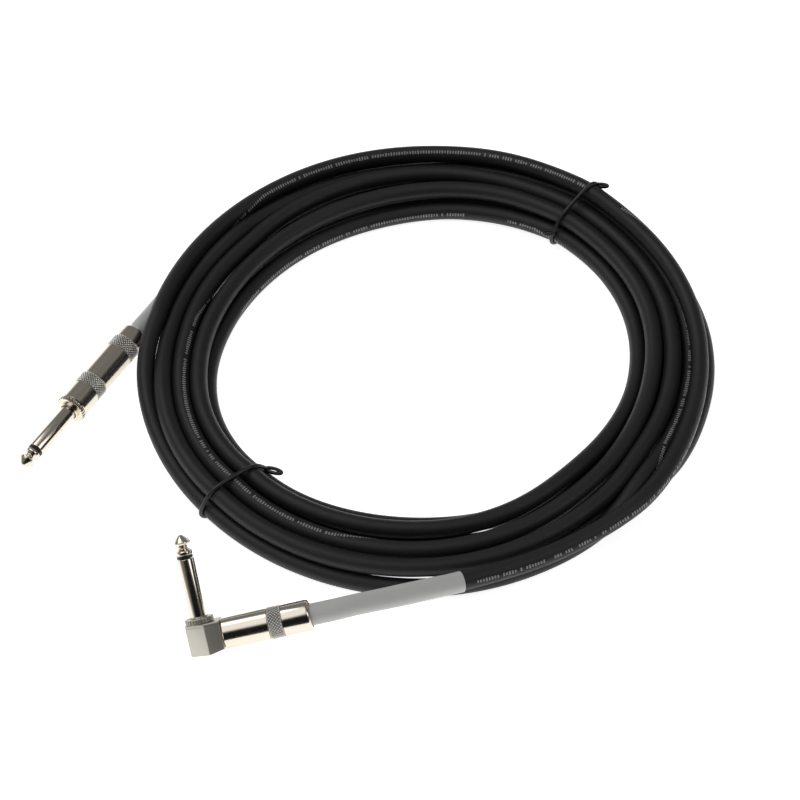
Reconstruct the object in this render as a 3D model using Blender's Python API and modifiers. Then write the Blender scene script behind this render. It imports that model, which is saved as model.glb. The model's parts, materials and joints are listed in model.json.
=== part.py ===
"""A coiled instrument cable: a straight and a right-angle 6.35 mm plug on one 7 mm cable.

World frame: the floor is z = 0. The origin is on the floor under the front of the coil, and the
coil's centre lies on +Y from it. Sizes below are millimetres, and MM turns them into metres.
Each plug's rear half has its own frame: z = 0 where the barrel starts, and -Z towards the cable.
"""

import math

import bmesh
import bpy
from mathutils import Matrix, Vector

MM = 0.001
GAP = 0.3

# Cable and its coil
CABLE_R = 3.5
COIL_MEAN_R = 98.5
COIL_WIDTH = 33.0
COIL_HEIGHT = 16.0
COIL_CORNER = 6.0
COIL_CENTRE = Vector((0.0, COIL_MEAN_R, 0.0))
COIL_STEPS = 64

# Wire ties, by the direction of each from the coil's centre
TIE_WIRE_R = 0.9
TIE_GAP = 0.5
TIE_ANGLES = {"far_tie": 51.5, "near_tie": -138.5}
TIE_CORNER_POINTS = 5

# Finger of both plugs, measured up from its shoulder
FINGER_R = 3.175
FINGER_BORE_R = 2.2
SLEEVE_TOP = 22.0
RING_TOP = 23.2
TIP_TOP = 31.0
ROD_R = 0.9
INSULATOR_TUBE_R = 1.9

# Rear half of both plugs, measured down from the start of the barrel
THREAD_R = 4.85
THREAD_LENGTH = 6.0
BARREL_R = 5.9
BARREL_BORE_R = 5.15
BARREL_WALL = 1.2
BARREL_EXIT_R = 4.6
KNURL_R = 6.1
LINER_OUTER_R = 4.9
LINER_INNER_R = 4.5
GROUND_RING = (-6.3, -6.8)
REAR_INSULATOR_R = 3.25
REAR_INSULATOR = (-7.1, -8.3)
TERMINAL_DISC = (-8.6, -9.1)
TERMINAL_END = -15.0
TERMINAL_Y = (1.5, 2.0)
TERMINAL_WIDTH = 2.4
GROUND_Y = (-4.0, -3.6)
JACKET_START = -18.0
CLAMP = (-21.5, -25.5)
BOOT_START = -26.0
BOOT_R = 4.15
BOOT_WALL = 0.35
BARREL_TRAVEL = 5.0

# Straight plug
HUB_R = 4.25
HUB_HEIGHT = 1.0
COLLAR_R = 6.1
COLLAR_HEIGHT = 1.8
STRAIGHT_BARREL = 43.2
STRAIGHT_KNURLS = ((8.9, 14.2), (31.0, 36.5))
STRAIGHT_SHOULDER = Vector((-140.1, 70.5, 6.15))
STRAIGHT_DIRECTION = Vector((0.51, 0.86, 0.0)).normalized()

# Right-angle plug
ELBOW_AXES_CROSS = Vector((-82.6, -37.5, 8.3))
BARREL_DIRECTION = Vector((0.975, 0.125, 0.185)).normalized()
FINGER_DIRECTION = Vector((-0.24, 0.70, 0.67))
FINGER_RISE = 7.7
ANGLE_COLLAR_R = 5.3
ELBOW_TOP = -2.1
ELBOW_BOTTOM = -13.8
ELBOW_HALF_WIDTH = 5.75
ELBOW_POINT = -5.8
ELBOW_SHOULDER = 1.75
ELBOW_FACE = 7.5
ELBOW_UNDERCUT = 1.2
ELBOW_BORE_R = 3.4
TERMINAL_BORE_R = 2.6
ELBOW_CAP_R = 2.9
ELBOW_CAP_THICK = 1.5
ANGLE_BARREL = 32.5
ANGLE_KNURLS = ((17.0, 22.0),)

# Where each cable end runs once it has left its barrel, to its place in the coil
STRAIGHT_ROUTE = ((-107.6, 126.0, 5.3), (-99.8, 139.6, 4.5), (-91.1, 151.9, 4.45), (-82.4, 162.9, 4.45))
STRAIGHT_BOOT_OUT = 57.0
ANGLE_ROUTE = (
    (-27.0, -29.5, 17.9), (-14.0, -25.7, 17.2), (0.0, -20.5, 15.2),
    (14.0, -15.1, 13.2), (34.0, -7.4, 12.2), (54.0, 1.6, 12.2),
)
ANGLE_BOOT_OUT = 60.0
ROUTE_SPACING = 6.5

NICKEL = ((0.72, 0.69, 0.64), 0.12, 1.0)
BRASS = ((0.70, 0.53, 0.28), 0.3, 1.0)
COPPER = ((0.80, 0.42, 0.25), 0.35, 1.0)
BLACK_PLASTIC = ((0.02, 0.02, 0.02), 0.4, 0.0)
CLEAR_LINER = ((0.75, 0.74, 0.70), 0.45, 0.0)
GREY_SLEEVING = ((0.52, 0.52, 0.53), 0.5, 0.0)
JACKET = ((0.012, 0.012, 0.013), 0.42, 0.0)
CORE_WHITE = ((0.8, 0.8, 0.78), 0.5, 0.0)
PHENOLIC = ((0.25, 0.13, 0.06), 0.5, 0.0)


def clear_scene():
    for obj in list(bpy.data.objects):
        bpy.data.objects.remove(obj)


def new_collection(name):
    collection = bpy.data.collections.new(name)
    bpy.context.scene.collection.children.link(collection)
    return collection


def material(name, look):
    colour, roughness, metallic = look
    mat = bpy.data.materials.new(name)
    mat.use_nodes = True
    shader = mat.node_tree.nodes["Principled BSDF"]
    shader.inputs["Base Color"].default_value = (*colour, 1.0)
    shader.inputs["Roughness"].default_value = roughness
    shader.inputs["Metallic"].default_value = metallic
    return mat


def add(name, data, look=None, parent=None):
    """A new object: a part when it has a look, and a hidden cutter when it has none."""
    obj = bpy.data.objects.new(name, data)
    if look:
        PARTS.objects.link(obj)
        data.materials.append(material(name, look))
    else:
        CUTTERS.objects.link(obj)
        obj.hide_render = True
        obj.display_type = "WIRE"
    obj.parent = parent
    return obj


def axis_frame(name, origin, z_axis, y_axis):
    """An empty at origin whose Z runs along z_axis and whose Y is as near y_axis as it can be."""
    z = z_axis.normalized()
    x = y_axis.cross(z).normalized()
    y = z.cross(x)
    turn = Matrix((x, y, z)).transposed().to_4x4()
    empty = bpy.data.objects.new(name, None)
    PARTS.objects.link(empty)
    empty.matrix_world = Matrix.Translation(origin * MM) @ turn
    bpy.context.view_layer.update()
    return empty


def turned(name, profile, look=None, parent=None, steps=32, closed=True):
    """A profile of (radius, z) in mm turned about Z. It runs down its outer side and up its inner side."""
    mesh = bpy.data.meshes.new(name)
    points = [(radius * MM, 0.0, z * MM) for radius, z in profile]
    count = len(points)
    edges = [(i, i + 1) for i in range(count - 1)]
    if closed:
        edges.append((count - 1, 0))
    mesh.from_pydata(points, edges, [])
    obj = add(name, mesh, look, parent)
    screw = obj.modifiers.new("turn", "SCREW")
    screw.axis = "Z"
    screw.steps = steps
    screw.render_steps = steps
    screw.use_smooth_shade = True
    screw.use_merge_vertices = True
    screw.merge_threshold = 1e-5
    return obj


def ring(outer, inner, top, bottom):
    return ((outer, top), (outer, bottom), (inner, bottom), (inner, top))


def block(name, low, high, look=None, parent=None):
    """A box between two corners, in mm."""
    mesh = bpy.data.meshes.new(name)
    shape = bmesh.new()
    size = [(b - a) * MM for a, b in zip(low, high)]
    middle = [(a + b) / 2 * MM for a, b in zip(low, high)]
    place = Matrix.Translation(middle) @ Matrix.Diagonal((*size, 1.0))
    bmesh.ops.create_cube(shape, size=1.0, matrix=place)
    shape.to_mesh(mesh)
    shape.free()
    return add(name, mesh, look, parent)


def boolean(obj, cutter, operation="DIFFERENCE"):
    step = obj.modifiers.new(cutter.name, "BOOLEAN")
    step.operation = operation
    step.object = cutter
    return step


def tube(name, points, radius, look=None, filled=True, cyclic=False, resolution=3):
    """A wire or tube along world points in mm."""
    curve = bpy.data.curves.new(name, "CURVE")
    curve.dimensions = "3D"
    curve.bevel_depth = radius * MM
    curve.bevel_resolution = resolution
    curve.use_fill_caps = filled
    spline = curve.splines.new("POLY")
    spline.points.add(len(points) - 1)
    for spot, point in zip(spline.points, points):
        spot.co = (*(point * MM), 1.0)
    spline.use_cyclic_u = cyclic
    return add(name, curve, look)


def as_mesh(obj):
    """The same cutter as a closed mesh, because a curve can't cut."""
    bpy.context.view_layer.update()
    graph = bpy.context.evaluated_depsgraph_get()
    mesh = bpy.data.meshes.new_from_object(obj.evaluated_get(graph))
    shape = bmesh.new()
    shape.from_mesh(mesh)
    bmesh.ops.remove_doubles(shape, verts=shape.verts, dist=1e-6)
    shape.to_mesh(mesh)
    shape.free()
    name, place = obj.name, obj.matrix_world.copy()
    bpy.data.objects.remove(obj)
    solid = add(name, mesh)
    solid.matrix_world = place
    return solid


def smooth_route(points, spacing):
    """Evenly spaced points along one Catmull-Rom curve through the given ones."""
    ends = [2 * points[0] - points[1], *points, 2 * points[-1] - points[-2]]
    fine = []
    for a, b, c, d in zip(ends, ends[1:], ends[2:], ends[3:]):
        for step in range(24):
            t = step / 24
            fine.append(
                0.5 * (2 * b + (c - a) * t + (2 * a - 5 * b + 4 * c - d) * t**2 + (3 * b - a - 3 * c + d) * t**3)
            )
    fine.append(points[-1])
    runs = [0.0]
    for a, b in zip(fine, fine[1:]):
        runs.append(runs[-1] + (b - a).length)
    count = round(runs[-1] / spacing)
    even, at = [], 0
    for index in range(count + 1):
        want = runs[-1] * index / count
        while at < len(fine) - 2 and runs[at + 1] < want:
            at += 1
        share = (want - runs[at]) / (runs[at + 1] - runs[at])
        even.append(fine[at].lerp(fine[at + 1], share))
    return even


def finger(prefix, frame, rod_end, insulator_end, sleeve_end):
    """The contact pin: a tip on a rod, the insulator round the rod, and the sleeve round that."""
    tip = (
        (0.0, TIP_TOP), (0.5, TIP_TOP - 0.25), (3.0, TIP_TOP - 3.1), (3.1, TIP_TOP - 3.5), (2.7, TIP_TOP - 4.1),
        (1.8, TIP_TOP - 4.7), (1.8, TIP_TOP - 5.6), (2.9, RING_TOP + 1.1), (3.1, RING_TOP + 0.8),
        (3.1, RING_TOP + GAP), (ROD_R, RING_TOP + GAP), (ROD_R, rod_end), (0.0, rod_end),
    )
    turned(prefix + "_tip", tip, NICKEL, frame, closed=False)
    rod_hole = ROD_R + GAP
    insulator = (
        (3.0, RING_TOP), (3.0, SLEEVE_TOP + GAP), (INSULATOR_TUBE_R, SLEEVE_TOP + GAP),
        (INSULATOR_TUBE_R, insulator_end), (rod_hole, insulator_end), (rod_hole, RING_TOP),
    )
    turned(prefix + "_tip_insulator", insulator, BLACK_PLASTIC, frame, steps=24)
    sleeve = ring(FINGER_R, FINGER_BORE_R, SLEEVE_TOP, sleeve_end)
    turned(prefix + "_sleeve", sleeve, NICKEL, frame)


def barrel(prefix, frame, length, knurls):
    """The screwed barrel, with raised bands where it is knurled, and the insulating liner inside it."""
    front = -GAP
    back = front - length
    profile = [(BARREL_R - 0.2, front), (BARREL_R, front - 0.2)]
    for start, end in knurls:
        profile += [(BARREL_R, front - start), (KNURL_R, front - start - 0.2)]
        profile += [(KNURL_R, front - end + 0.2), (BARREL_R, front - end)]
    profile += [(BARREL_R, back + 1.0), (BARREL_R - 0.9, back), (BARREL_EXIT_R, back)]
    profile += [(BARREL_EXIT_R, back + BARREL_WALL), (BARREL_BORE_R, back + BARREL_WALL), (BARREL_BORE_R, front)]
    turned(prefix + "_barrel", profile, NICKEL, frame)
    liner = ring(LINER_OUTER_R, LINER_INNER_R, -THREAD_LENGTH - GAP, back + BARREL_WALL + GAP)
    turned(prefix + "_liner", liner, CLEAR_LINER, frame, steps=24)


def ground_clamp(prefix, frame):
    """The ground lug: a ring behind the thread, a strip along the barrel and arms round the jacket."""
    lug = turned(prefix + "_ground_clamp", ring(4.1, 2.8, *GROUND_RING), NICKEL, frame, steps=24)
    half = TERMINAL_WIDTH / 2
    strip = block(
        prefix + "_ground_strip", (-half, GROUND_Y[0], CLAMP[1]), (half, GROUND_Y[1], GROUND_RING[0] - 0.02),
        parent=frame,
    )
    arms = turned(prefix + "_clamp_arms", ring(4.2, CABLE_R + GAP, *CLAMP), parent=frame, steps=24)
    opening = block(prefix + "_clamp_opening", (-2.6, 0.0, CLAMP[1] - 1), (2.6, 6.0, CLAMP[0] + 1), parent=frame)
    boolean(arms, opening)
    boolean(lug, strip, "UNION")
    boolean(lug, arms, "UNION")


def straight_terminal(prefix, frame):
    """The tip's solder lug: a disc riveted on the rod, with a tab towards the cable."""
    lug = turned(prefix + "_tip_terminal", ring(2.3, ROD_R + GAP, *TERMINAL_DISC), BRASS, frame, steps=24)
    half = TERMINAL_WIDTH / 2
    tab = block(
        prefix + "_tab", (-half, TERMINAL_Y[0], TERMINAL_END), (half, TERMINAL_Y[1], TERMINAL_DISC[0] - 0.02),
        parent=frame,
    )
    boolean(lug, tab, "UNION")


def angle_terminal(prefix, frame):
    """The tip's solder strip: it starts round the rod inside the elbow and runs into the barrel."""
    half = TERMINAL_WIDTH / 2
    strip = block(
        prefix + "_tip_terminal", (-half, TERMINAL_Y[0], TERMINAL_END), (half, TERMINAL_Y[1], ELBOW_FACE + 1.6),
        BRASS, frame,
    )
    hole = turned(prefix + "_rod_hole", ((0.0, 1.0), (1.0, 1.0), (1.0, -1.0), (0.0, -1.0)), closed=False, steps=16)
    hole.parent = frame
    hole.location = (0.0, sum(TERMINAL_Y) / 2 * MM, ELBOW_FACE * MM)
    hole.rotation_euler = (math.radians(90.0), 0.0, 0.0)
    boolean(strip, hole)


def soldered_wires(prefix, frame):
    """The stripped end of the cable: its core to the tip terminal, its shield to the ground strip."""
    place = frame.matrix_world
    wire_start = JACKET_START + GAP
    core = ((0.0, 0.0, wire_start), (0.0, 0.1, -15.5), (0.0, 0.3, -11.5))
    drain = ((0.0, -1.9, wire_start), (0.0, -2.6, -15.5), (0.0, -2.8, -12.0))
    for name, path, radius, look in (("_core_wire", core, 0.8, CORE_WHITE), ("_shield_drain", drain, 0.45, COPPER)):
        world = [place @ (Vector(point) * MM) / MM for point in path]
        tube(prefix + name, world, radius, look, resolution=2)


def cable_end(prefix, frame, length, route, boot_out):
    """The cable from inside the barrel to the coil, the boot round it, and the room both need in the coil."""
    place = frame.matrix_world
    back = -GAP - length
    axis_points = [place @ Vector((0.0, 0.0, z * MM)) / MM for z in (JACKET_START, back, back - 8.0)]
    inside = [axis_points[0].lerp(axis_points[1], share / 5) for share in range(5)]
    line = smooth_route([*inside, *axis_points[1:], *[Vector(point) for point in route]], ROUTE_SPACING)
    tube(prefix + "_cable_end", line, CABLE_R, JACKET)
    runs = [0.0]
    for a, b in zip(line, line[1:]):
        runs.append(runs[-1] + (b - a).length)
    step = runs[1]
    first = math.ceil((JACKET_START - BOOT_START) / step)
    last = round((JACKET_START - back + boot_out) / step)
    boot = tube(prefix + "_boot", line[first : last + 1], BOOT_R, GREY_SLEEVING, filled=False)
    wall = boot.modifiers.new("wall", "SOLIDIFY")
    wall.thickness = BOOT_WALL * MM
    wall.offset = -1.0
    beyond = line[-1] + (line[-1] - line[-2]).normalized() * GAP
    room = as_mesh(tube(prefix + "_cable_room", [*line[first:], beyond], BOOT_R + 0.45))
    swept = ((0.0, 0.0), (KNURL_R + 0.5, 0.0), (KNURL_R + 0.5, back - BARREL_TRAVEL - 1.0), (0.0, back - BARREL_TRAVEL - 1.0))
    travel = turned(prefix + "_barrel_room", swept, parent=frame, closed=False)
    return [room, travel]


def rear_half(prefix, frame, length, knurls, lead_r):
    barrel(prefix, frame, length, knurls)
    ground_clamp(prefix, frame)
    washer = ring(REAR_INSULATOR_R, lead_r + GAP, *REAR_INSULATOR)
    turned(prefix + "_rear_insulator", washer, PHENOLIC, frame, steps=24)
    soldered_wires(prefix, frame)


def straight_plug():
    prefix = "straight"
    up = Vector((0.0, 0.0, 1.0))
    finger_frame = axis_frame("straight_finger_axis", STRAIGHT_SHOULDER, -STRAIGHT_DIRECTION, up)
    shoulder = HUB_HEIGHT + COLLAR_HEIGHT
    rear_frame = axis_frame(
        "straight_barrel_axis", STRAIGHT_SHOULDER + STRAIGHT_DIRECTION * shoulder, -STRAIGHT_DIRECTION, up
    )
    finger(prefix, finger_frame, TERMINAL_DISC[1] - shoulder - 0.6, -shoulder - THREAD_LENGTH, -5.0)
    back = -shoulder - THREAD_LENGTH
    body = (
        (HUB_R, 0.0), (HUB_R, -HUB_HEIGHT), (COLLAR_R, -HUB_HEIGHT), (COLLAR_R, -shoulder), (THREAD_R, -shoulder),
        (THREAD_R, back), (FINGER_BORE_R, back), (FINGER_BORE_R, -5.0 - GAP), (FINGER_R + GAP, -5.0 - GAP),
        (FINGER_R + GAP, 0.0),
    )
    turned("straight_body", body, NICKEL, finger_frame)
    rear_half(prefix, rear_frame, STRAIGHT_BARREL, STRAIGHT_KNURLS, ROD_R)
    straight_terminal(prefix, rear_frame)
    return cable_end(prefix, rear_frame, STRAIGHT_BARREL, STRAIGHT_ROUTE, STRAIGHT_BOOT_OUT)


def elbow(frame, rear_frame):
    """The elbow block with its pointed end, its threaded neck, and the bores the contacts need."""
    mesh = bpy.data.meshes.new("angle_elbow")
    outline = (
        (ELBOW_FACE, ELBOW_HALF_WIDTH), (ELBOW_SHOULDER, ELBOW_HALF_WIDTH), (ELBOW_POINT, 0.9),
        (ELBOW_POINT, -0.9), (ELBOW_SHOULDER, -ELBOW_HALF_WIDTH), (ELBOW_FACE, -ELBOW_HALF_WIDTH),
    )
    shape = bmesh.new()
    top = [shape.verts.new((x * MM, y * MM, ELBOW_TOP * MM)) for x, y in outline]
    face = shape.faces.new(top)
    sides = bmesh.ops.extrude_face_region(shape, geom=[face])["geom"]
    for vert in (item for item in sides if isinstance(item, bmesh.types.BMVert)):
        undercut = ELBOW_UNDERCUT if vert.co.x > (ELBOW_FACE - 1.0) * MM else 0.0
        vert.co.z = (ELBOW_BOTTOM + undercut) * MM
    bmesh.ops.recalc_face_normals(shape, faces=shape.faces)
    shape.to_mesh(mesh)
    shape.free()
    block_obj = add("angle_elbow", mesh, NICKEL, frame)
    neck = ((0.0, 1.0), (THREAD_R, 1.0), (THREAD_R, -THREAD_LENGTH), (0.0, -THREAD_LENGTH))
    boolean(block_obj, turned("elbow_neck", neck, parent=rear_frame, closed=False), "UNION")
    depth = ELBOW_FACE + 2.0
    step = ELBOW_FACE + 0.8
    wire_way = (
        (0.0, depth), (TERMINAL_BORE_R, depth), (TERMINAL_BORE_R, step), (ELBOW_BORE_R, step),
        (ELBOW_BORE_R, -9.0), (0.0, -9.0),
    )
    boolean(block_obj, turned("elbow_wire_way", wire_way, parent=rear_frame, closed=False, steps=24))
    seat = FINGER_R + GAP
    finger_way = ((0.0, 1.0), (seat, 1.0), (seat, -3.9), (FINGER_BORE_R, -3.9), (FINGER_BORE_R, -7.0), (0.0, -7.0))
    boolean(block_obj, turned("elbow_finger_way", finger_way, parent=frame, closed=False, steps=24))
    cap_way = ((0.0, -8.5), (ELBOW_CAP_R + GAP, -8.5), (ELBOW_CAP_R + GAP, -16.0), (0.0, -16.0))
    boolean(block_obj, turned("elbow_cap_way", cap_way, parent=frame, closed=False, steps=24))
    cap = (
        (0.0, ELBOW_BOTTOM + ELBOW_CAP_THICK + 1.0), (ELBOW_CAP_R, ELBOW_BOTTOM + ELBOW_CAP_THICK + 1.0),
        (ELBOW_CAP_R, ELBOW_BOTTOM + 1.0), (0.0, ELBOW_BOTTOM + 1.0),
    )
    turned("angle_elbow_cap", cap, NICKEL, frame, closed=False, steps=24)


def angle_plug():
    prefix = "angle"
    up = (FINGER_DIRECTION - BARREL_DIRECTION * FINGER_DIRECTION.dot(BARREL_DIRECTION)).normalized()
    across = up.cross(BARREL_DIRECTION)
    finger_frame = axis_frame("angle_finger_axis", ELBOW_AXES_CROSS + up * FINGER_RISE, up, across)
    rear_frame = axis_frame("angle_barrel_axis", ELBOW_AXES_CROSS + BARREL_DIRECTION * ELBOW_FACE, -BARREL_DIRECTION, up)
    finger(prefix, finger_frame, TERMINAL_Y[0] - GAP - FINGER_RISE, -4.6, -3.6)
    turned("angle_collar", ring(ANGLE_COLLAR_R, FINGER_R + GAP, 0.0, ELBOW_TOP + GAP), NICKEL, finger_frame)
    elbow(finger_frame, rear_frame)
    rear_half(prefix, rear_frame, ANGLE_BARREL, ANGLE_KNURLS, 2.4)
    angle_terminal(prefix, rear_frame)
    return cable_end(prefix, rear_frame, ANGLE_BARREL, ANGLE_ROUTE, ANGLE_BOOT_OUT)


def coil_section():
    """The bundle's outline, (radius, z), clockwise from the inner top corner: round corners, flat bottom."""
    inner = COIL_MEAN_R - COIL_WIDTH / 2
    outer = COIL_MEAN_R + COIL_WIDTH / 2
    foot = CABLE_R
    corners = (
        (outer - COIL_CORNER, COIL_HEIGHT - COIL_CORNER, COIL_CORNER, 90), (outer - foot, foot, foot, 0),
        (inner + foot, foot, foot, -90), (inner + COIL_CORNER, COIL_HEIGHT - COIL_CORNER, COIL_CORNER, -180),
    )
    section = []
    for r, z, radius, start in corners:
        for step in range(4):
            turn = math.radians(start - 30 * step)
            section.append((r + radius * math.cos(turn), z + radius * math.sin(turn)))
    return section


def coil(rooms):
    """The wound part of the cable as one solid ring, cut clear of the cable ends and the wires under it."""
    ring_obj = turned("cable_coil", coil_section(), JACKET, steps=COIL_STEPS)
    ring_obj.location = COIL_CENTRE * MM
    for room in rooms:
        boolean(ring_obj, room)
    reach = COIL_WIDTH / 2 + 4.0
    for name, angle in TIE_ANGLES.items():
        half = TIE_WIRE_R + 0.6
        groove = block(
            name + "_groove", (COIL_MEAN_R - reach, -half, -1.0),
            (COIL_MEAN_R + reach, half, 2 * TIE_WIRE_R + 2 * GAP),
        )
        groove.location = COIL_CENTRE * MM
        groove.rotation_euler = (0.0, 0.0, math.radians(angle))
        boolean(ring_obj, groove)


def wire_tie(name, angle):
    """One turn of wire round the bundle: its corners follow the bundle's, and it is flat on the floor."""
    lift = TIE_WIRE_R + TIE_GAP
    inner = COIL_MEAN_R - COIL_WIDTH / 2 - lift
    outer = COIL_MEAN_R + COIL_WIDTH / 2 + lift
    low = TIE_WIRE_R + 0.1
    high = COIL_HEIGHT + lift
    radius = COIL_CORNER + lift
    foot = 3.0
    corners = (
        (outer - radius, high - radius, radius, 90), (outer - foot, low + foot, foot, 0),
        (inner + foot, low + foot, foot, -90), (inner + radius, high - radius, radius, -180),
    )
    turn = math.radians(angle)
    outward = Vector((math.cos(turn), math.sin(turn), 0.0))
    points = []
    for r, z, bend, start in corners:
        for step in range(TIE_CORNER_POINTS):
            sweep = math.radians(start - 90 * step / (TIE_CORNER_POINTS - 1))
            away = outward * (r + bend * math.cos(sweep))
            points.append(COIL_CENTRE + away + Vector((0.0, 0.0, z + bend * math.sin(sweep))))
    tube(name, points, TIE_WIRE_R, BLACK_PLASTIC, cyclic=True, filled=False, resolution=2)


clear_scene()
PARTS = new_collection("instrument_cable")
CUTTERS = new_collection("cutters")
coil(straight_plug() + angle_plug())
for tie_name, tie_angle in TIE_ANGLES.items():
    wire_tie(tie_name, tie_angle)
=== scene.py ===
"""The looks of the instrument cable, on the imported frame.

World frame: metres, the floor is z = 0, and the coil's centre is on +Y. Sizes below are in
millimetres unless a name or comment says otherwise, and MM turns them into metres. Each plug has a
frame for its finger, whose Z points to the tip, and one for its barrel, whose -Z points along the
cable.
"""

import json
import math

import bmesh
import bpy
import numpy as np
from mathutils import Matrix, Vector

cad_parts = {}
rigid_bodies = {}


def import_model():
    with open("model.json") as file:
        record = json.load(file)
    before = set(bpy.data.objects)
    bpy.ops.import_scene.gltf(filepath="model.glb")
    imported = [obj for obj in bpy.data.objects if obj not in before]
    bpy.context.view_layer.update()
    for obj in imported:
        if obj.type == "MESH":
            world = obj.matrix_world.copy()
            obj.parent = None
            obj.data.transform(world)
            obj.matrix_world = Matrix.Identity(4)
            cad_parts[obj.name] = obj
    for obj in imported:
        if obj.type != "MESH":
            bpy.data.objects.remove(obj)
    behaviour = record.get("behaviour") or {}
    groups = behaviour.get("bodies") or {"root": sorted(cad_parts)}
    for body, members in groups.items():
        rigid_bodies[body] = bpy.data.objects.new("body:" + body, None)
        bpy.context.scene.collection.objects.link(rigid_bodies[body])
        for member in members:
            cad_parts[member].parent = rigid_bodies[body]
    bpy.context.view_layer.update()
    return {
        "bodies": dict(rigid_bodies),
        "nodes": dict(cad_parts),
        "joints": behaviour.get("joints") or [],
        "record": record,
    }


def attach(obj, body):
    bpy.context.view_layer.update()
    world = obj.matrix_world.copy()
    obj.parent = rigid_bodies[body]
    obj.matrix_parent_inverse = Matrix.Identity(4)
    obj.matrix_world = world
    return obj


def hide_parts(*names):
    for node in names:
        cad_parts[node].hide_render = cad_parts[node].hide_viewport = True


MM = 0.001

# Cable, coil and ties
CABLE_R = 3.5
CENTRE_Y = 98.5
STATION_DEG = 2.0
PER_TURN = int(360 / STATION_DEG)
BLUR_STATIONS = 22
SWAY = 0.7
SWAY_KNOTS = 44
SEPARATION = 7.08
BOOT_CLEARANCE = 7.75
BARREL_CLEARANCE = 9.9
EASING = 0.05
SETTLING_ROUNDS = 420
FIRM_ROUNDS = 260
FIRM_PULL, LIGHT_PULL = 0.10, 0.02
STIFF_ROUNDS = 400
STIFFNESS = 0.4
EASED_RINGS = 9
EASING_ROUNDS = 30
TIE_WIRE_R = 0.8
TIE_WIRE_SIDES = 14
TIE_SLACK = 1.012
TIE_EAR_WIRE_R = 0.72
TIE_CLEARANCE = 0.08
TIE_LIFT = 1.75
TIE_LIFT_DEG = 6.0
COIL_START_DEG = 140.0
COIL_END_DEG = -62.0 - 7 * 360.0
RING_SPACING = 2.6
CABLE_SIDES = 24

# Each pass of the cable round the coil: (radius, height) at the far side, right, front and left
LOW, HIGH = 3.5, 9.9
PASSES = (
    ((111.4, LOW), (111.5, LOW), (101.5, LOW), (101.0, LOW)),
    ((97.0, LOW), (100.2, LOW), (92.5, LOW), (93.5, LOW)),
    ((89.8, LOW), (93.2, LOW), (86.0, LOW), (86.0, LOW)),
    ((82.2, LOW), (86.0, LOW), (92.0, HIGH), (90.0, HIGH)),
    ((88.5, HIGH), (89.5, HIGH), (100.5, HIGH), (98.0, HIGH)),
    ((99.3, HIGH), (97.0, HIGH), (107.0, HIGH), (106.0, HIGH)),
    ((104.3, LOW), (104.5, LOW), (111.0, LOW), (109.0, LOW)),
    ((109.5, HIGH + 0.4), (107.3, HIGH), (111.0, 12.2), (111.0, 12.2)),
)

# Where the last but one pass climbs over the straight plug: (unrolled direction, radius, height)
OVER_PLUG = (
    (-2318.0, 109.0, 4.5), (-2340.0, 107.5, 12.5), (-2352.0, 109.0, 14.5), (-2378.0, 111.3, 12.2),
)

# Directions between which the strands keep off the cable's ends and the unscrewed barrel. They keep
# off that barrel from UNSCREWED_FROM, in its frame, to its rear
STRAIGHT_END_NEAR = (138.0, 175.0)
UNSCREWED_NEAR = (156.0, 196.0)
ANGLE_END_NEAR = (248.0, 297.5)
UNSCREWED_FROM = -30.0

# Each tie: direction, lean, ears as (at the outer edge, size, swing), tail as (degrees long, radius)
TIES = {
    "far": (50.3, -1.2, ((True, 2.6, 4.2), (False, 3.2, -2.4)), (9.0, 86.0)),
    "near": (-137.6, -0.8, ((False, 3.9, -4.6),), None),
}
TIED_WITHIN = 119.0

# Where the far tie draws the passes together: (radius, height) of each pass
TIED_AT = 48.0
TIED = (
    (107.3, LOW), (100.2, LOW), (93.1, LOW), (86.0, LOW),
    (89.6, HIGH), (96.6, HIGH), (103.7, HIGH), (101.5, 17.5),
)

# How the bundle's inner and outer edges shift from a circle, by direction from the coil's centre
INNER_EDGE, OUTER_EDGE = 85.5, 111.5
EDGE_SHIFTS = (
    (-165, 6.5, 1.4), (-135, 4.0, 0.8), (-105, -3.5, 2.0), (-75, -6.0, -0.4), (-45, -8.5, -2.6),
    (-15, -4.5, -2.2), (15, 3.0, -1.3), (45, 5.0, -3.0), (75, 2.0, -3.0), (105, -5.0, -2.6),
    (135, -6.0, -5.2), (165, -3.5, -3.4),
)

# Where the printed line faces, at unrolled directions round the coil: 0 is up, 90 is the coil's middle
PRINT_FACES = (
    (200.0, 190.0), (0.0, 200.0), (-900.0, 170.0), (-920.0, 75.0), (-1022.0, 68.0), (-1050.0, 170.0),
    (-1200.0, 190.0), (-1520.0, 170.0), (-1552.0, -5.0), (-1585.0, 5.0), (-1630.0, 42.0),
    (-1650.0, 150.0), (-2120.0, 190.0), (-2143.0, 370.0), (-2188.0, 360.0), (-2210.0, 190.0),
    (-2370.0, 170.0), (-2390.0, 35.0), (-2474.0, 25.0), (-2490.0, -60.0), (-2505.0, -100.0), (-2545.0, -80.0),
    (-2570.0, -62.0), (-2800.0, -60.0),
)

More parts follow.
